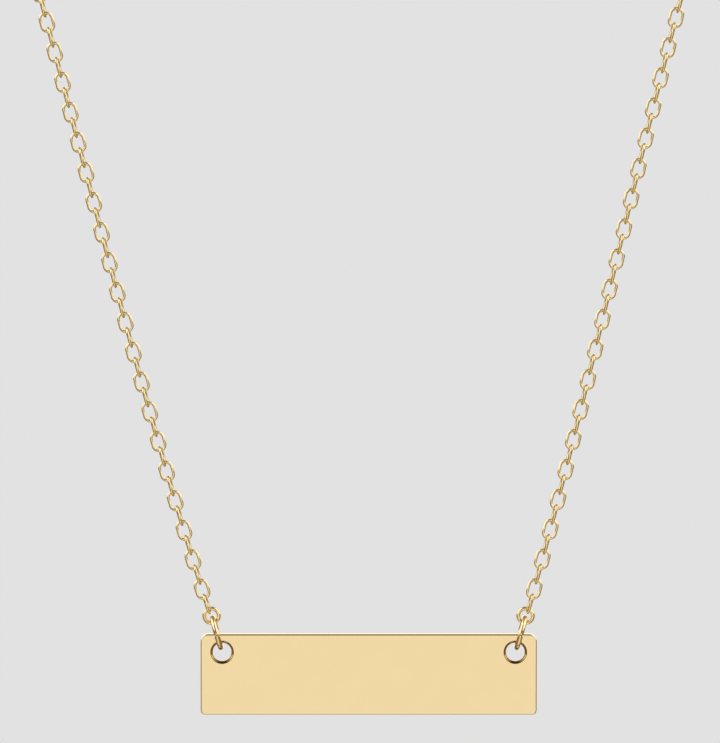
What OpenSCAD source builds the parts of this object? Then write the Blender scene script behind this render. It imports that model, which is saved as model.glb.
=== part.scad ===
// Bar pendant: an engravable plate on two jump rings, hung from a fine cable chain.
// Millimetres, +Z up. The front faces -Y. The origin lies at the nape, where the closed loop rests.

/* [Bar] */
// Width of the bar
bar_w = 34; // [28:0.5:40]
// Height of the bar
bar_h = 8.2; // [7:0.1:10]
// Thickness of the bar
bar_t = 1; // [0.8:0.1:1.4]
// Radius of the two upper corners
upper_corner_r = 0.75; // [0.3:0.05:1.2]
// Radius of the two lower corners
lower_corner_r = 0.45; // [0.3:0.05:1.2]

/* [Holes in the bar] */
// Clear diameter of each hole
hole_d = 1.88; // [1.6:0.02:2]
// Diameter of the crease where the rolled lip of a hole meets the face
lip_d = 2.37; // [2.3:0.01:2.5]
// Radius of the rolled lip
lip_r = 0.35; // [0.3:0.01:0.4]
// Distance from the side of the bar to the middle of a hole
hole_from_side = 2.17; // [1.8:0.01:3]
// Distance from the top of the bar to the middle of a hole
hole_from_top = 1.89; // [1.7:0.01:2.2]

/* [Rings] */
// Outer diameter of a jump ring
jump_ring_d = 3.7; // [3.4:0.1:4]
// Wire of a jump ring
jump_ring_wire = 0.55; // [0.5:0.01:0.6]
// Lean of a jump ring away from the vertical
jump_ring_lean = 15.6; // [10:0.1:20]
// Turn of a jump ring about its own leaning line
jump_ring_turn = -1; // [-3:1:10]
// Outer diameter of the ring that ends a half of the chain
end_ring_d = 1.86; // [1.84:0.01:1.9]
// Wire of that end ring
end_ring_wire = 0.34; // [0.3:0.01:0.35]
// Where the first link holds its end ring, as an angle from the top of that ring
first_link_lean = 34; // [14:1:40]

/* [Chain] */
// Links in each half of the chain, an even number
links_per_side = 118; // [116:2:120]
// Outer length of a link
link_l = 2.28; // [2.27:0.01:2.32]
// Outer width of a link
link_w = 1.58; // [1.5:0.01:1.64]
// Wire of a link
link_wire = 0.3; // [0.24:0.01:0.3]
// Turn of the chain about its own line, in front
link_turn = 4; // [0:1:20]
// Turn of the last link of each half, which squares it to the clasp
last_link_turn = -23; // [-30:1:-15]

/* [Loop] */
// Lean of the left half where it leaves its end ring
left_lean_low = 17.6; // [14:0.1:18]
// Lean of the left half where it starts to turn back to the neck
left_lean_high = 14.6; // [12:0.1:17]
// Lean of the right half where it leaves its end ring
right_lean_low = 15.6; // [13:0.1:18]
// Lean of the right half where it starts to turn back to the neck
right_lean_high = 14.5; // [12:0.1:17]

/* [Clasp] */
// Outer diameter of the closed ring of the clasp
clasp_d = 4.9; // [4.5:0.1:6]
// Wire of that ring
clasp_wire = 0.7; // [0.6:0.05:0.8]
// Outer diameter of the eye beside it
clasp_eye_d = 2.1; // [2:0.1:2.4]
// Wire of the eye
clasp_eye_wire = 0.4; // [0.3:0.05:0.45]

/* [Hidden] */

// Clear space between two rings or links that hang on each other
gap = 0.105;
// Clear space between a jump ring and the top of its hole, enough for the bar to swing
hole_gap = 0.16;
// Clear space between the clasp and the last link on each side of it
clasp_gap = 0.2;
// Facets of a full turn, which stand for true curves
smooth = 32;
// Samples along each stretch of the loop
stretch_steps = 60;
// Links of each half that hang in front, before its turn starts to change
front_links = 48;

gold = [0.93, 0.80, 0.52];
gold_chain = [0.88, 0.74, 0.42];

// The middle of the bar, seen from the nape
bar_mid = [0, -82, -93];

LEFT = -1;
RIGHT = 1;

// Where each half ends its flat stretch in front, seen from the middle of the bar
left_top = [-32.75, 0, 67.5];
right_top = [31.15, 0, 67.5];
// Where the right half passes the side of the neck, seen from there too, and its direction
neck_side = [47, 38, 89];
neck_side_dir = [0.12, 1, 0.14];
// Lengths of the handles that round the two bends of each half
bend_handle = 17;
neck_handle = 25;
nape_handle = 26;

function unit(v) = v / norm(v);
function lean_dir(side, angle) = [side * sin(angle), 0, cos(angle)];
function mirrored(side, p) = [side * p[0], p[1], p[2]];
function lean_low(side) = side == LEFT ? left_lean_low : right_lean_low;
function lean_high(side) = side == LEFT ? left_lean_high : right_lean_high;

// Radius of the middle line of a ring
function ring_r(d, wire) = (d - wire) / 2;

jump_r = ring_r(jump_ring_d, jump_ring_wire);
end_r = ring_r(end_ring_d, end_ring_wire);
clasp_r = ring_r(clasp_d, clasp_wire);
eye_r = ring_r(clasp_eye_d, clasp_eye_wire);

hole_x = bar_w / 2 - hole_from_side;
hole_z = bar_h / 2 - hole_from_top;

// The jump ring hangs in the top of its hole, and the end ring rides on the top of the jump ring
function jump_dir(side) = lean_dir(side, jump_ring_lean);
function hole_mid(side) = bar_mid + [side * hole_x, 0, hole_z];
function jump_mid(side) =
    hole_mid(side) + jump_dir(side) * (hole_d / 2 - jump_ring_wire / 2 - hole_gap + jump_r);
function end_mid(side) =
    jump_mid(side)
    + jump_dir(side) * (jump_r - jump_ring_wire / 2 - gap - end_ring_wire / 2)
    + lean_dir(side, lean_low(side)) * end_r;
// The middle of the wire at the lower end of the first link
function chain_start(side) =
    end_mid(side)
    + lean_dir(side, first_link_lean) * (end_r - end_ring_wire / 2 - gap - link_wire / 2);

// The clasp lies flat on the nape, its ring to the left and its eye to the right of the middle
clasp_mid = [-1, clasp_wire / 2, 0];
eye_mid = clasp_mid + [clasp_r + eye_r, 0, 0];
function chain_end(side) =
    side == LEFT
    ? clasp_mid - [clasp_r - clasp_wire / 2 - clasp_gap - link_wire / 2, 0, 0]
    : eye_mid + [eye_r - clasp_eye_wire / 2 - clasp_gap - link_wire / 2, 0, 0];

// A point of a cubic curve from a to d with the handles b and c
function cubic(a, b, c, d, t) =
    (1 - t) ^ 3 * a + 3 * (1 - t) ^ 2 * t * b + 3 * (1 - t) * t ^ 2 * c + t ^ 3 * d;

function stretch(a, a_dir, a_handle, d, d_dir, d_handle) =
    [for (i = [1:stretch_steps])
        cubic(a, a + a_dir * a_handle, d - d_dir * d_handle, d, i / stretch_steps)];

// The whole line of a half: up in front, round the side of the neck and back to the clasp
function half_line(side) =
    let (
        start = chain_start(side),
        top = bar_mid + (side == LEFT ? left_top : right_top),
        flank = bar_mid + mirrored(side, neck_side),
        flank_dir = unit(mirrored(side, neck_side_dir)),
        third = norm(top - start) / 3
    )
    concat(
        [start],
        stretch(start, lean_dir(side, lean_low(side)), third,
                top, lean_dir(side, lean_high(side)), third),
        stretch(top, lean_dir(side, lean_high(side)), bend_handle,
                flank, flank_dir, bend_handle),
        stretch(flank, flank_dir, neck_handle,
                chain_end(side), [-side, 0, 0], nape_handle));

// The same line with the length run so far beside each coordinate, as three lookup tables
function run_lengths(line) =
    [for (i = 0, run = 0;
          i < len(line);
          i = i + 1, run = run + (i < len(line) ? norm(line[i] - line[i - 1]) : 0))
        run];
function axis_tables(line) =
    let (runs = run_lengths(line))
    [for (axis = [0:2]) [for (i = [0:len(line) - 1]) [runs[i], line[i][axis]]]];
function point_at(tables, run) = [for (table = tables) lookup(run, table)];
function total_run(tables) = tables[0][len(tables[0]) - 1][0];

// Length of the middle line of a link from end to end
link_reach = link_l - link_wire;
function link_pitch(tables) = (total_run(tables) - link_reach) / (links_per_side - 1);

// Each link's middle, its direction, and the normal of the plane it would lie in without its turn.
// The normal is carried along the line without twist, from one link to the next.
function link_frames(side) =
    let (
        tables = axis_tables(half_line(side)),
        pitch = link_pitch(tables),
        half = pitch / 2,
        along = [for (k = [0:links_per_side - 1])
                    let (run = link_reach / 2 + k * pitch)
                    unit(point_at(tables, run + half) - point_at(tables, run - half))]
    )
    [for (k = 0, normal = [0, -1, 0];
          k < links_per_side;
          k = k + 1,
          normal = k < links_per_side ? unit(normal - (normal * along[k]) * along[k]) : normal)
        [point_at(tables, link_reach / 2 + k * pitch), along[k], normal]];

// The turn of a link about the line of its half
function turn_of_link(side, k) =
    let (share = max(0, k - front_links) / (links_per_side - 1 - front_links))
    side * (link_turn + (last_link_turn - link_turn) * share);

// Puts its children with their Z along the given direction and their X along the given normal
module framed(at, dir, normal) {
    side_dir = cross(dir, normal);
    multmatrix([[normal[0], side_dir[0], dir[0], at[0]],
                [normal[1], side_dir[1], dir[1], at[1]],
                [normal[2], side_dir[2], dir[2], at[2]],
                [0, 0, 0, 1]])
        children();
}

// A round wire ring in the YZ plane
module wire_ring(middle_r, wire) {
    rotate([0, 90, 0])
        rotate_extrude($fn = smooth)
            translate([middle_r, 0])
                circle(d = wire, $fn = smooth);
}

// A closed oval link that stands along Z, in the YZ plane
module link() {
    bend_r = ring_r(link_w, link_wire);
    straight = link_reach - 2 * bend_r;
    for (end = [0, 1])
        rotate([180 * end, 0, 0])
            translate([0, 0, straight / 2])
                rotate([90, 0, 90])
                    rotate_extrude(angle = 180, $fn = smooth)
                        translate([bend_r, 0])
                            circle(d = link_wire, $fn = smooth);
    for (leg = [-1, 1])
        translate([0, leg * bend_r, 0])
            cylinder(d = link_wire, h = straight, center = true, $fn = smooth);
}

module chain_half(side) {
    frames = link_frames(side);
    color(gold_chain)
        for (k = [0:links_per_side - 1])
            framed(frames[k][0], frames[k][1], frames[k][2])
                rotate([0, 0, turn_of_link(side, k) + (k % 2 == 0 ? 90 : 0)])
                    link();
}

// The plate's outline in the XZ plane
module bar_outline() {
    half_w = bar_w / 2;
    half_h = bar_h / 2;
    upper = half_h - upper_corner_r;
    lower = lower_corner_r - half_h;
    translate([-half_w, lower])
        square([bar_w, upper - lower]);
    translate([upper_corner_r - half_w, 0])
        square([bar_w - 2 * upper_corner_r, half_h]);
    translate([lower_corner_r - half_w, -half_h])
        square([bar_w - 2 * lower_corner_r, half_h]);
    for (side = [LEFT, RIGHT]) {
        translate([side * (half_w - upper_corner_r), upper])
            circle(r = upper_corner_r, $fn = smooth);
        translate([side * (half_w - lower_corner_r), lower])
            circle(r = lower_corner_r, $fn = smooth);
    }
}

// What is cut for one hole: the clear bore between two rolled lips
module hole_cut() {
    lip_mid_r = hole_d / 2 + lip_r;
    lip_drop = sqrt(lip_r ^ 2 - (lip_mid_r - lip_d / 2) ^ 2);
    rotate([90, 0, 0])
        rotate_extrude($fn = smooth)
            difference() {
                translate([0, -bar_t])
                    square([lip_d / 2, 2 * bar_t]);
                for (face = [-1, 1])
                    translate([lip_mid_r, face * (bar_t / 2 - lip_drop)])
                        circle(r = lip_r, $fn = smooth);
                translate([hole_d / 2, lip_drop - bar_t / 2])
                    square([lip_r, bar_t - 2 * lip_drop]);
            }
}

module bar() {
    color(gold)
        difference() {
            translate(bar_mid)
                rotate([90, 0, 0])
                    linear_extrude(height = bar_t, center = true)
                        bar_outline();
            for (side = [LEFT, RIGHT])
                translate(hole_mid(side))
                    hole_cut();
        }
}

module jump_ring(side) {
    color(gold_chain)
        framed(jump_mid(side), jump_dir(side), cross([0, 1, 0], jump_dir(side)))
            rotate([0, 0, side * jump_ring_turn])
                wire_ring(jump_r, jump_ring_wire);
}

module end_ring(side) {
    color(gold_chain)
        framed(end_mid(side), lean_dir(side, lean_low(side)), [0, -1, 0])
            rotate([0, 0, side * link_turn])
                wire_ring(end_r, end_ring_wire);
}

module clasp() {
    color(gold_chain) {
        translate(clasp_mid)
            rotate([0, 0, 90])
                wire_ring(clasp_r, clasp_wire);
        translate(eye_mid)
            rotate([0, 0, 90])
                wire_ring(eye_r, clasp_eye_wire);
    }
}

bar();
jump_ring(LEFT);  // jump_ring_left
jump_ring(RIGHT);  // jump_ring_right
end_ring(LEFT);  // end_ring_left
end_ring(RIGHT);  // end_ring_right
chain_half(LEFT);  // chain_left
chain_half(RIGHT);  // chain_right
clasp();
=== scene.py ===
# Bar pendant necklace: a mirror-polished gold bar on two jump rings and a fine cable chain.
# Metres, +Z up. The front faces -Y, and the closed loop hangs from the nape at the origin.
import math

import bpy
import numpy as np
from mathutils import Matrix, Vector


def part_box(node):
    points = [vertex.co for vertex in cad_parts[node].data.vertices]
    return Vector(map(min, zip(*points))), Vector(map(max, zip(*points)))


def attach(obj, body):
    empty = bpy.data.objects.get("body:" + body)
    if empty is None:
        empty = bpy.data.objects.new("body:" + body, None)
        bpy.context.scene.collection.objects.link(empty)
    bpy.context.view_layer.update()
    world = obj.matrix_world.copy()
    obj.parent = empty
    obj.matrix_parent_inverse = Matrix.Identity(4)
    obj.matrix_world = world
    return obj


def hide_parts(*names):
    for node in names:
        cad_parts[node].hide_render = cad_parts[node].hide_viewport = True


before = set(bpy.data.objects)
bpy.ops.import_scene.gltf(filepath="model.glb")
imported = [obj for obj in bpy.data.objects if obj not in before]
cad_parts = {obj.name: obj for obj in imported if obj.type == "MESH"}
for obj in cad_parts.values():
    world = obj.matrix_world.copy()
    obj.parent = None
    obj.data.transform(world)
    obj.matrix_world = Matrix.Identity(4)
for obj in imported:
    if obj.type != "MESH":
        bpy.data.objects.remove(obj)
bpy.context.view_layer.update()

MM = 0.001
SIDES = ("left", "right")
SAME_PLACE = 0.01 * MM
MERGE_WITHIN = 0.001 * MM

# Bar
CORNER_R_TOP = 0.75 * MM
CORNER_R_BOTTOM = 0.45 * MM
CORNER_STEPS = 10
EDGE_R = 0.125 * MM
EDGE_STEPS = 6
BAR_SMOOTH_UP_TO = math.radians(16)
FLAT_FACE_NORMAL = 0.9999

# Holes in the bar and their rolled lips
HOLE_R = 0.94 * MM
HOLE_FROM_SIDE = 2.17 * MM
HOLE_FROM_TOP = 1.83 * MM
HOLE_SIDES = 96
LIP_R = 0.35 * MM
LIP_CREASE_R = 1.185 * MM
LIP_STEPS = 10
BORE_END_NORMAL = 0.9

# Rings
JUMP_RING_D = 3.7 * MM
JUMP_RING_WIRE = 0.55 * MM
JUMP_RING_CUT = math.radians(4)
JUMP_RING_CUT_AT = math.radians(180)
JUMP_RING_STEPS = 96
JUMP_RING_WIRE_SIDES = 24
JUMP_RING_SMOOTH_UP_TO = math.radians(40)
END_RING_D = 1.88 * MM
END_RING_WIRE = 0.4 * MM
END_RING_STEPS = 56
END_RING_WIRE_SIDES = 18

# Links
LINK_LENGTH = 2.2 * MM
LINK_WIDTH = 1.54 * MM
LINK_WIRE = 0.31 * MM
LINK_POINTS = 16
LINK_ROUNDING = 1        # gives the wire six sides

# Polish
HAZE_PER_MM = 0.35
HAZE_DETAIL = 3.0
HAIRLINE_DETAIL = 4.0
HAIRLINE_STRETCH = (0.12, 1.0, 1.6)
SMOOTHEST_AT = 0.15
ROUGHEST_AT = 0.4
SCRATCH_STRENGTH = 0.2

# Painted shade in the lips: dark reflections painted into the rolled lips of the holes, darkest below
LIP_PAINTED_SHADE = (0.6, 0.39, 0.14, 1)
LIP_PAINTED_SHADE_BELOW = (0.1, 0.055, 0.013, 1)
LIP_PAINTED_SHADE_END_R = LIP_CREASE_R + 0.01 * MM
LIP_DARKENS_FROM = 0.45 * LIP_CREASE_R
LIP_DARKEST_FROM = 0.85 * LIP_CREASE_R

# Photograph and camera
PHOTO_H = 743
MM_PER_PIXEL = 0.1009
LENS = 400.0
SENSOR = 36.0
CAMERA_ELEVATION = 5.0
CAMERA_NEAR = 0.01
CAMERA_FAR = 20.0
LOOK_AT = Vector((-0.88 * MM, -82 * MM, -62.27 * MM))

# Soft lights above, with their angles in degrees as seen from the pendant
SOFTBOX_AZIMUTH = 75
SOFTBOX_ELEVATION = 62
SOFTBOX_WIDE = 40
SOFTBOX_TALL = 24
SOFTBOX_RADIANCE = 1.0
SOFTBOX_DISTANCE = 0.9

# Room that the metal mirrors. A panel has a radiance, and then for each direction the two shares
# of it between which the panel fades in, or out where the second share is the smaller.
BACKGROUND = (0.76, 0.76, 0.76, 1)
DIM_ROOM = (0.3, 0.22, 0.115, 1)
PANELS = {
    "behind": (1.25, (("back", 0.9, 0.96), ("up", 0.4, 0.3))),
    "upper sides": (
        1.45, (("sideways", 0.25, 0.55), ("up", 0.03, 0.2), ("up", 0.9, 0.76), ("back", 0.75, 0.45))
    ),
    "low in front": (0.96, (("front", 0.83, 0.9), ("up", 0.06, 0.0), ("down", 0.5, 0.4))),
    "below": (0.8, (("sideways", 0.5, 0.35), ("front", 0.05, 0.15), ("down", 0.4, 0.5))),
}
# The same, for where the dim room fades out round the camera
CAMERA_SHADE = (0.85, (("front", 0.6, 0.8), ("up", 0.0, 0.05), ("up", 0.5, 0.3)))

# Floor
FLOOR_MIDDLE = (0, -0.04, -0.3)
FLOOR_R = 0.5
FLOOR_SIDES = 96
FLOOR_TONE = (0.82, 0.82, 0.81, 1)
FLOOR_ROUGHNESS = 0.9


def only(*objects):
    """Selects these objects and nothing else, with the first one active."""
    bpy.ops.object.select_all(action="DESELECT")
    for o in objects:
        o.select_set(True)
    bpy.context.view_layer.objects.active = objects[0]


def edit(piece, kind="VERT"):
    """Opens a piece in edit mode with nothing selected."""
    only(piece)
    bpy.ops.object.mode_set(mode="EDIT")
    bpy.ops.mesh.select_mode(type=kind)
    bpy.ops.mesh.select_all(action="DESELECT")


def leave():
    bpy.ops.object.mode_set(mode="OBJECT")


def pick_points(piece, wanted):
    """Selects the points for which wanted(place) is true."""
    bpy.ops.object.mode_set(mode="OBJECT")
    for point in piece.data.vertices:
        point.select = wanted(point.co)
    bpy.ops.object.mode_set(mode="EDIT")


def pick_edges(piece, wanted):
    """Selects the edges for which wanted(one end, other end) is true."""
    bpy.ops.object.mode_set(mode="OBJECT")
    points = piece.data.vertices
    for e in piece.data.edges:
        e.select = wanted(points[e.vertices[0]].co, points[e.vertices[1]].co)
    bpy.ops.object.mode_set(mode="EDIT")


def pick_faces(piece, wanted):
    """Selects the faces for which wanted(normal) is true."""
    bpy.ops.object.mode_set(mode="OBJECT")
    for face in piece.data.polygons:
        face.select = wanted(face.normal)
    bpy.ops.object.mode_set(mode="EDIT")


def turn_faces_outwards():
    """Turns every face of the piece in edit mode outwards, and leaves edit mode."""
    bpy.ops.mesh.select_all(action="SELECT")
    bpy.ops.mesh.normals_make_consistent(inside=False)
    leave()


def apply_place(piece):
    """Puts the place, turn and size of a piece into its mesh, and leaves it selected."""
    only(piece)
    bpy.ops.object.transform_apply(location=True, rotation=True, scale=True)


def settle(piece, name, body, node, material):
    """Names a finished piece, gives it its finish and lets it ride in place of its node."""
    piece.name = name
    piece.data.name = name
    piece.data.materials.clear()
    piece.data.materials.append(material)
    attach(piece, body)
    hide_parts(node)


# Shader nodes
def new_material(name):
    material = bpy.data.materials.new(name)
    material.use_nodes = True
    return material, material.node_tree.nodes, material.node_tree.links


def feed(links, socket, value):
    """Links a socket to an output, or sets it to a plain value."""
    if isinstance(value, bpy.types.NodeSocket):
        links.new(value, socket)
    else:
        socket.default_value = value


def vector_math(nodes, links, operation, *values):
    node = nodes.new("ShaderNodeVectorMath")
    node.operation = operation
    for socket, value in zip(node.inputs, values):
        feed(links, socket, value)
    return node


def ramp(nodes, links, value, start, end, first=0.0, last=1.0):
    """Runs from first to last as the value goes from start to end, and holds still beyond them."""
    node = nodes.new("ShaderNodeMapRange")
    feed(links, node.inputs["Value"], value)
    feed(links, node.inputs["From Min"], start)
    feed(links, node.inputs["From Max"], end)
    feed(links, node.inputs["To Min"], first)
    feed(links, node.inputs["To Max"], last)
    return node


def mixed(nodes, links, factor, first, second):
    """The first colour where the factor is 0, and the second where it is 1."""
    node = nodes.new("ShaderNodeMix")
    node.data_type = "RGBA"
    feed(links, node.inputs["Factor"], factor)
    feed(links, node.inputs["A"], first)
    feed(links, node.inputs["B"], second)
    return node.outputs["Result"]


def noise(nodes, links, place, scale, detail):
    node = nodes.new("ShaderNodeTexNoise")
    node.inputs["Detail"].default_value = detail
    links.new(place, node.inputs["Vector"])
    links.new(scale, node.inputs["Scale"])
    return node.outputs["Fac"]


# Finishes
def polish_group():
    """Hand polish: fine hairlines and faint haze, as a mask, a roughness and a height."""
    group = bpy.data.node_groups.new("hand_polish", "ShaderNodeTree")
    for name in ("Hairlines per mm", "Haze per mm", "Smoothest", "Roughest"):
        group.interface.new_socket(name=name, in_out="INPUT", socket_type="NodeSocketFloat")
    for name in ("Tone", "Roughness", "Height"):
        group.interface.new_socket(name=name, in_out="OUTPUT", socket_type="NodeSocketFloat")
    nodes, links = group.nodes, group.links
    given = nodes.new("NodeGroupInput").outputs
    made = nodes.new("NodeGroupOutput").inputs

    place = nodes.new("ShaderNodeTexCoord")
    to_mm = nodes.new("ShaderNodeVectorMath")
    to_mm.operation = "SCALE"
    to_mm.inputs["Scale"].default_value = 1 / MM
    links.new(place.outputs["Object"], to_mm.inputs[0])
    stretched = nodes.new("ShaderNodeMapping")
    stretched.inputs["Scale"].default_value = HAIRLINE_STRETCH
    links.new(to_mm.outputs[0], stretched.inputs["Vector"])

    haze = noise(nodes, links, to_mm.outputs[0], given["Haze per mm"], HAZE_DETAIL)
    hairlines = noise(nodes, links, stretched.outputs[0], given["Hairlines per mm"], HAIRLINE_DETAIL)
    both = nodes.new("ShaderNodeMath")
    both.operation = "MULTIPLY"
    links.new(haze, both.inputs[0])
    links.new(hairlines, both.inputs[1])
    roughness = ramp(
        nodes, links, both.outputs[0], SMOOTHEST_AT, ROUGHEST_AT, given["Smoothest"], given["Roughest"]
    )
    links.new(haze, made["Tone"])
    links.new(roughness.outputs[0], made["Roughness"])
    links.new(hairlines, made["Height"])
    return group


def gold(name, pale, deep, smoothest, roughest, hairlines_per_mm, scratch_depth):
    """Polished gold: a tone between pale and deep, with the group's polish over it."""
    material, nodes, links = new_material(name)
    shader = nodes["Principled BSDF"]
    shader.inputs["Metallic"].default_value = 1.0
    polish = nodes.new("ShaderNodeGroup")
    polish.node_tree = POLISH
    polish.inputs["Hairlines per mm"].default_value = hairlines_per_mm
    polish.inputs["Haze per mm"].default_value = HAZE_PER_MM
    polish.inputs["Smoothest"].default_value = smoothest
    polish.inputs["Roughest"].default_value = roughest
    tone = mixed(nodes, links, polish.outputs["Tone"], (*pale, 1), (*deep, 1))
    links.new(tone, shader.inputs["Base Color"])
    links.new(polish.outputs["Roughness"], shader.inputs["Roughness"])
    bump = nodes.new("ShaderNodeBump")
    bump.inputs["Strength"].default_value = SCRATCH_STRENGTH
    bump.inputs["Distance"].default_value = scratch_depth
    links.new(polish.outputs["Height"], bump.inputs["Height"])
    links.new(bump.outputs["Normal"], shader.inputs["Normal"])
    return material


def plate_gold():
    """The bar's gold, with painted shade in the rolled lips of its two holes: their dark reflections
    painted in, darkest below.
    """
    material = gold(
        "polished_plate_gold",
        pale=(0.838, 0.716, 0.447),
        deep=(0.806, 0.678, 0.408),
        smoothest=0.05,
        roughest=0.07,
        hairlines_per_mm=9.0,
        scratch_depth=0.0001 * MM,
    )
    nodes, links = material.node_tree.nodes, material.node_tree.links
    base_colour = nodes["Principled BSDF"].inputs["Base Color"]
    face_tone = base_colour.links[0].from_socket
    place = nodes.new("ShaderNodeTexCoord")

    # Without their signs the two holes fall on each other, and Z counts downwards.
    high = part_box("bar")[1]
    hole = (high.x - HOLE_FROM_SIDE, 0, -(high.z - HOLE_FROM_TOP))
    folded = vector_math(nodes, links, "ABSOLUTE", place.outputs["Object"])
    from_hole = vector_math(nodes, links, "SUBTRACT", folded.outputs[0], hole)
    in_plane = vector_math(nodes, links, "MULTIPLY", from_hole.outputs[0], (1, 0, 1))
    distance = vector_math(nodes, links, "LENGTH", in_plane.outputs[0])
    # Painted shade: the lips are painted dark in place of the dark reflections they would show, ending
    # just past the crease.
    lip_shade_mask = ramp(nodes, links, distance.outputs["Value"], LIP_CREASE_R, LIP_PAINTED_SHADE_END_R, 1.0, 0.0)

    drop = nodes.new("ShaderNodeSeparateXYZ")
    links.new(from_hole.outputs[0], drop.inputs[0])
    # Painted shade: darkest towards the bottom of each lip.
    below = ramp(nodes, links, drop.outputs["Z"], LIP_DARKENS_FROM, LIP_DARKEST_FROM)
    lip_painted_shade = mixed(nodes, links, below.outputs[0], LIP_PAINTED_SHADE, LIP_PAINTED_SHADE_BELOW)
    links.new(mixed(nodes, links, lip_shade_mask.outputs[0], face_tone, lip_painted_shade), base_colour)
    return material


def wire_gold():
    return gold(
        "polished_wire_gold",
        pale=(0.91, 0.76, 0.49),
        deep=(0.87, 0.70, 0.43),
        smoothest=0.09,
        roughest=0.14,
        hairlines_per_mm=7.0,
        scratch_depth=0.001 * MM,
    )


def chain_gold():
    return gold(
        "chain_wire_gold",
        pale=(0.94, 0.81, 0.48),
        deep=(0.89, 0.75, 0.42),
        smoothest=0.16,
        roughest=0.24,
        hairlines_per_mm=5.0,
        scratch_depth=0.001 * MM,
    )


# Bar
def hole_cutter(middle, thickness):
    """What is cut for a hole: a bore that flares along two rolled lips and runs on past both faces."""
    lip_middle_r = HOLE_R + LIP_R
    crease = math.asin((lip_middle_r - LIP_CREASE_R) / LIP_R)
    straight = thickness / 2 - LIP_R * math.cos(crease)
    bpy.ops.mesh.primitive_cylinder_add(
        vertices=HOLE_SIDES,
        radius=HOLE_R,
        depth=2 * straight,
        location=middle,
        rotation=(math.pi / 2, 0, 0),
    )
    cutter = bpy.context.object
    apply_place(cutter)
    for end in (-1, 1):
        edit(cutter, "FACE")
        pick_faces(cutter, lambda normal: normal.y * end > BORE_END_NORMAL)
        radius = HOLE_R
        depth = 0.0
        for step in range(1, LIP_STEPS + 1):
            turn = (math.pi / 2 - crease) * step / LIP_STEPS
            new_radius = lip_middle_r - LIP_R * math.cos(turn)
            new_depth = LIP_R * math.sin(turn)
            grow = new_radius / radius
            bpy.ops.mesh.extrude_region_move(
                TRANSFORM_OT_translate={"value": (0, end * (new_depth - depth), 0)}
            )
            bpy.ops.transform.resize(value=(grow, 1, grow), center_override=middle)
            radius = new_radius
            depth = new_depth
        bpy.ops.mesh.extrude_region_move(TRANSFORM_OT_translate={"value": (0, end * thickness, 0)})
        leave()
    return cutter


def round_edges(bar, wanted, radius, steps):
    edit(bar, "EDGE")
    pick_edges(bar, wanted)
    bpy.ops.mesh.bevel(offset=radius, offset_type="OFFSET", segments=steps, affect="EDGES")
    leave()


def cut_hole(bar, middle, thickness):
    cutter = hole_cutter(middle, thickness)
    only(bar)
    cut = bar.modifiers.new("hole", "BOOLEAN")
    cut.operation = "DIFFERENCE"
    cut.solver = "EXACT"
    cut.object = cutter
    bpy.ops.object.modifier_apply(modifier=cut.name)
    bpy.data.objects.remove(cutter)


def make_bar():
    """The plate: its four corners are rounded, then the whole rim, and the two holes are cut."""
    low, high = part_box("bar")
    middle = (low + high) / 2
    size = high - low
    bpy.ops.mesh.primitive_cube_add(size=1, location=middle)
    bar = bpy.context.object
    bar.scale = size
    apply_place(bar)
    for z, radius in ((high.z, CORNER_R_TOP), (low.z, CORNER_R_BOTTOM)):
        round_edges(
            bar,
            lambda a, b: abs(a.y - b.y) > size.y / 2 and abs(a.z - z) < SAME_PLACE,
            radius,
            CORNER_STEPS,
        )
    round_edges(bar, lambda a, b: abs(a.y - b.y) < size.y / 2, EDGE_R, EDGE_STEPS)
    for side in (-1, 1):
        hole_x = middle.x + side * (size.x / 2 - HOLE_FROM_SIDE)
        cut_hole(bar, Vector((hole_x, middle.y, high.z - HOLE_FROM_TOP)), size.y)

    edit(bar, "FACE")
    turn_faces_outwards()
    bpy.ops.object.shade_smooth_by_angle(angle=BAR_SMOOTH_UP_TO)
    edit(bar, "FACE")
    pick_faces(bar, lambda normal: abs(normal.y) > FLAT_FACE_NORMAL)
    bpy.ops.mesh.faces_shade_flat()
    leave()
    settle(bar, "bar_plate", "pendant", "bar", PLATE_GOLD)


# Rings
def solid_axes(points):
    """The middle of a ring or link, its long direction and the normal of its plane."""
    middle = (points.min(0) + points.max(0)) / 2
    spread = points - points.mean(0)
    directions = np.linalg.eigh(spread.T @ spread)[1]
    return Vector(middle), Vector(directions[:, 2]), Vector(directions[:, 0])


def points_of(piece):
    flat = np.empty(len(piece.data.vertices) * 3)
    piece.data.vertices.foreach_get("co", flat)
    return flat.reshape(-1, 3)


def placed(middle, up, normal):
    """The matrix that stands a shape's Z along up and its X along normal, at middle."""
    normal = (normal - normal.dot(up) * up).normalized()
    across = up.cross(normal)
    turn = Matrix((normal, across, up)).transposed()
    return Matrix.Translation(middle) @ turn.to_4x4()


def ring_place(node):
    """Where a ring stands, with its Z as far up as its plane lets it."""
    middle, _, normal = solid_axes(points_of(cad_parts[node]))
    if normal.x < 0:
        normal = -normal
    upright = Vector((0, 0, 1))
    up = (upright - upright.dot(normal) * normal).normalized()
    return placed(middle, up, normal)


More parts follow.
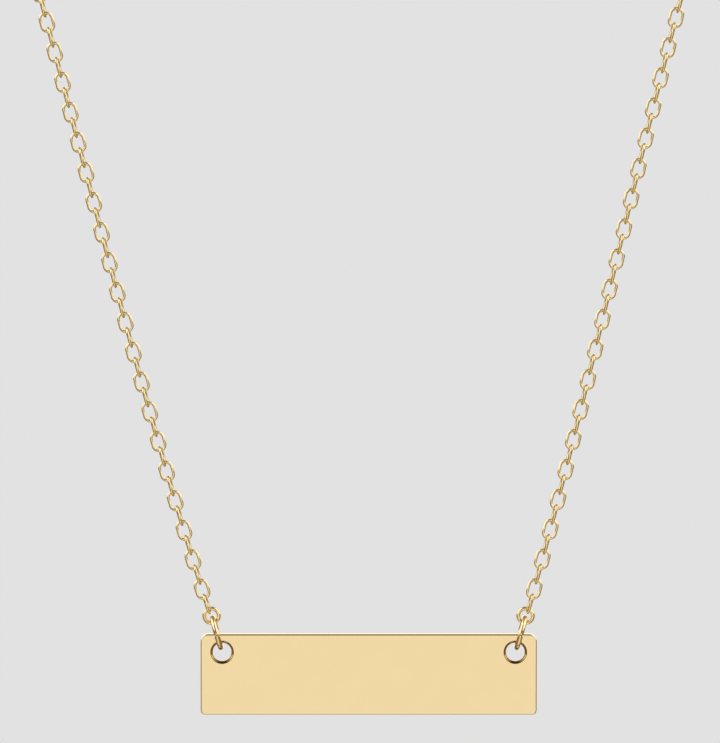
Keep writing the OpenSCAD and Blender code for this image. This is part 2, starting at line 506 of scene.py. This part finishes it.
def make_jump_ring(side):
    """Round wire bent to a ring, whose two sawn ends meet at a hairline cut."""
    middle_r = (JUMP_RING_D - JUMP_RING_WIRE) / 2
    bpy.ops.mesh.primitive_circle_add(
        vertices=JUMP_RING_WIRE_SIDES,
        radius=JUMP_RING_WIRE / 2,
        fill_type="NGON",
        location=(0, middle_r, 0),
    )
    ring = bpy.context.object
    apply_place(ring)
    edit(ring)
    bpy.ops.mesh.select_all(action="SELECT")
    bpy.ops.mesh.spin(
        steps=JUMP_RING_STEPS,
        angle=2 * math.pi - JUMP_RING_CUT,
        center=(0, 0, 0),
        axis=(1, 0, 0),
        use_auto_merge=False,
    )
    turn_faces_outwards()
    ring.matrix_world = ring_place(f"jump_ring_{side}") @ Matrix.Rotation(JUMP_RING_CUT_AT, 4, "X")
    apply_place(ring)
    bpy.ops.object.shade_smooth_by_angle(angle=JUMP_RING_SMOOTH_UP_TO)
    settle(ring, f"jump_ring_{side}_wire", "necklace", f"jump_ring_{side}", WIRE_GOLD)


def make_end_ring(side):
    bpy.ops.mesh.primitive_torus_add(
        major_radius=(END_RING_D - END_RING_WIRE) / 2,
        minor_radius=END_RING_WIRE / 2,
        major_segments=END_RING_STEPS,
        minor_segments=END_RING_WIRE_SIDES,
        rotation=(0, math.pi / 2, 0),
    )
    ring = bpy.context.object
    apply_place(ring)
    ring.matrix_world = ring_place(f"end_ring_{side}")
    apply_place(ring)
    bpy.ops.object.shade_smooth()
    settle(ring, f"end_ring_{side}_wire", "necklace", f"end_ring_{side}", CHAIN_GOLD)


# Chain
def make_link():
    """One oval link along Z, in the YZ plane: two half rings of wire joined by straight legs."""
    bend_r = (LINK_WIDTH - LINK_WIRE) / 2
    straight = LINK_LENGTH - LINK_WIDTH
    half_step = math.pi / LINK_POINTS
    bpy.ops.mesh.primitive_circle_add(
        vertices=LINK_POINTS,
        radius=bend_r / math.cos(half_step),
        rotation=(math.pi / 2, half_step, math.pi / 2),
    )
    link = bpy.context.object
    apply_place(link)
    for half in (-1, 1):
        edit(link)
        pick_points(link, lambda place: place.z * half > 0)
        bpy.ops.transform.translate(value=(0, 0, half * straight / 2))
        leave()
    only(link)
    bpy.ops.object.convert(target="CURVE")
    link = bpy.context.object
    link.data.dimensions = "3D"
    link.data.bevel_depth = LINK_WIRE / 2
    link.data.bevel_resolution = LINK_ROUNDING
    bpy.ops.object.convert(target="MESH")
    link = bpy.context.object
    only(link)
    bpy.ops.object.shade_smooth()
    return link


def link_places(node):
    """Where each link of a chain stands, read from the loose solids of its node."""
    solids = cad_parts[node].copy()
    solids.data = solids.data.copy()
    solids.parent = None
    bpy.context.scene.collection.objects.link(solids)
    edit(solids)
    bpy.ops.mesh.select_all(action="SELECT")
    bpy.ops.mesh.remove_doubles(threshold=MERGE_WITHIN)
    bpy.ops.mesh.separate(type="LOOSE")
    leave()
    places = []
    for part in list(bpy.context.selected_objects):
        places.append(placed(*solid_axes(points_of(part))))
        bpy.data.objects.remove(part)
    return places


def make_chain(side, link):
    copies = []
    for place in link_places(f"chain_{side}"):
        copy = link.copy()
        copy.data = link.data.copy()
        copy.matrix_world = place
        bpy.context.scene.collection.objects.link(copy)
        copies.append(copy)
    only(*copies)
    bpy.ops.object.join()
    chain = bpy.context.object
    apply_place(chain)
    settle(chain, f"chain_{side}_links", "necklace", f"chain_{side}", CHAIN_GOLD)


# Studio
def heading(azimuth, elevation):
    """Unit vector from the piece to a place in the studio; azimuth 0 is the camera's side."""
    a = math.radians(azimuth)
    e = math.radians(elevation)
    return Vector((math.sin(a) * math.cos(e), -math.cos(a) * math.cos(e), math.sin(e)))


def span(degrees):
    """How wide a thing at the softboxes' distance is that spans so many degrees."""
    return 2 * SOFTBOX_DISTANCE * math.tan(math.radians(degrees / 2))


def softbox(name, azimuth):
    """A soft rectangular light above the pendant that faces it."""
    light = bpy.data.lights.new(name, "AREA")
    light.shape = "RECTANGLE"
    light.size = span(SOFTBOX_WIDE)
    light.size_y = span(SOFTBOX_TALL)
    light.energy = SOFTBOX_RADIANCE * math.pi * light.size * light.size_y
    box = bpy.data.objects.new(name, light)
    towards = heading(azimuth, SOFTBOX_ELEVATION)
    box.location = LOOK_AT + towards * SOFTBOX_DISTANCE
    box.rotation_euler = (-towards).to_track_quat("-Z", "Y").to_euler()
    box.visible_camera = False
    bpy.context.scene.collection.objects.link(box)


class Studio:
    """The room as the metal mirrors it: soft panels, each a product of smooth steps in direction."""

    def __init__(self, nodes, links):
        self.nodes = nodes
        self.links = links
        place = nodes.new("ShaderNodeTexCoord")
        parts = nodes.new("ShaderNodeSeparateXYZ")
        links.new(place.outputs["Generated"], parts.inputs[0])
        right, back, up = parts.outputs
        self.share = {
            "back": back,
            "front": self.math("MULTIPLY", back, -1),
            "up": up,
            "down": self.math("MULTIPLY", up, -1),
            "sideways": self.math("ABSOLUTE", right),
        }

    def math(self, operation, *values):
        node = self.nodes.new("ShaderNodeMath")
        node.operation = operation
        for socket, value in zip(node.inputs, values):
            feed(self.links, socket, value)
        return node.outputs[0]

    def step(self, value, start, end):
        """Rises smoothly from 0 to 1 between start and end, or falls when end is the smaller."""
        first = float(start > end)
        last = float(start < end)
        node = ramp(self.nodes, self.links, value, min(start, end), max(start, end), first, last)
        node.interpolation_type = "SMOOTHSTEP"
        return node.outputs[0]

    def panel(self, radiance, steps):
        """A soft panel of this radiance where all its steps are 1."""
        level = radiance
        for direction, start, end in steps:
            level = self.math("MULTIPLY", self.step(self.share[direction], start, end), level)
        return level


def make_world():
    """Pale grey behind the piece, and the studio's panels for everything that is mirrored or lit."""
    world = bpy.data.worlds.new("studio")
    bpy.context.scene.world = world
    world.use_nodes = True
    nodes, links = world.node_tree.nodes, world.node_tree.links
    nodes.clear()
    studio = Studio(nodes, links)

    panels = nodes.new("ShaderNodeBackground")
    total = 0
    for radiance, steps in PANELS.values():
        total = studio.math("ADD", studio.panel(radiance, steps), total)
    links.new(total, panels.inputs["Strength"])
    dim = nodes.new("ShaderNodeBackground")
    dim.inputs["Color"].default_value = DIM_ROOM
    links.new(studio.math("SUBTRACT", 1, studio.panel(*CAMERA_SHADE)), dim.inputs["Strength"])
    room = nodes.new("ShaderNodeAddShader")
    links.new(panels.outputs[0], room.inputs[0])
    links.new(dim.outputs[0], room.inputs[1])

    backdrop = nodes.new("ShaderNodeBackground")
    backdrop.inputs["Color"].default_value = BACKGROUND
    path = nodes.new("ShaderNodeLightPath")
    mix = nodes.new("ShaderNodeMixShader")
    links.new(path.outputs["Is Camera Ray"], mix.inputs["Fac"])
    links.new(room.outputs[0], mix.inputs[1])
    links.new(backdrop.outputs[0], mix.inputs[2])
    out = nodes.new("ShaderNodeOutputWorld")
    links.new(mix.outputs[0], out.inputs["Surface"])


def make_floor():
    bpy.ops.mesh.primitive_circle_add(
        vertices=FLOOR_SIDES, radius=FLOOR_R, fill_type="NGON", location=FLOOR_MIDDLE
    )
    floor = bpy.context.object
    floor.name = "floor"
    apply_place(floor)
    material, nodes, links = new_material("pale_floor")
    shader = nodes["Principled BSDF"]
    shader.inputs["Base Color"].default_value = FLOOR_TONE
    shader.inputs["Roughness"].default_value = FLOOR_ROUGHNESS
    floor.data.materials.append(material)
    floor.visible_glossy = False


def make_lights():
    softbox("upper_left", -SOFTBOX_AZIMUTH)
    softbox("upper_right", SOFTBOX_AZIMUTH)


def make_camera():
    camera = bpy.data.objects.new("camera", bpy.data.cameras.new("camera"))
    camera.data.lens = LENS
    camera.data.sensor_width = SENSOR
    distance = PHOTO_H * MM_PER_PIXEL * MM * LENS / SENSOR
    towards = heading(0, CAMERA_ELEVATION)
    camera.location = LOOK_AT + towards * distance
    camera.rotation_euler = (-towards).to_track_quat("-Z", "Y").to_euler()
    camera.data.clip_start = CAMERA_NEAR
    camera.data.clip_end = CAMERA_FAR
    bpy.context.scene.collection.objects.link(camera)
    bpy.context.scene.camera = camera


bpy.ops.object.select_all(action="DESELECT")
bpy.context.scene.view_settings.view_transform = "Standard"
POLISH = polish_group()
PLATE_GOLD = plate_gold()
WIRE_GOLD = wire_gold()
CHAIN_GOLD = chain_gold()
make_bar()
one_link = make_link()
for side in SIDES:
    make_jump_ring(side)
    make_end_ring(side)
    make_chain(side, one_link)
bpy.data.objects.remove(one_link)
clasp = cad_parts["clasp"]
clasp.material_slots[0].material = WIRE_GOLD
make_camera()
make_world()
make_floor()
make_lights()
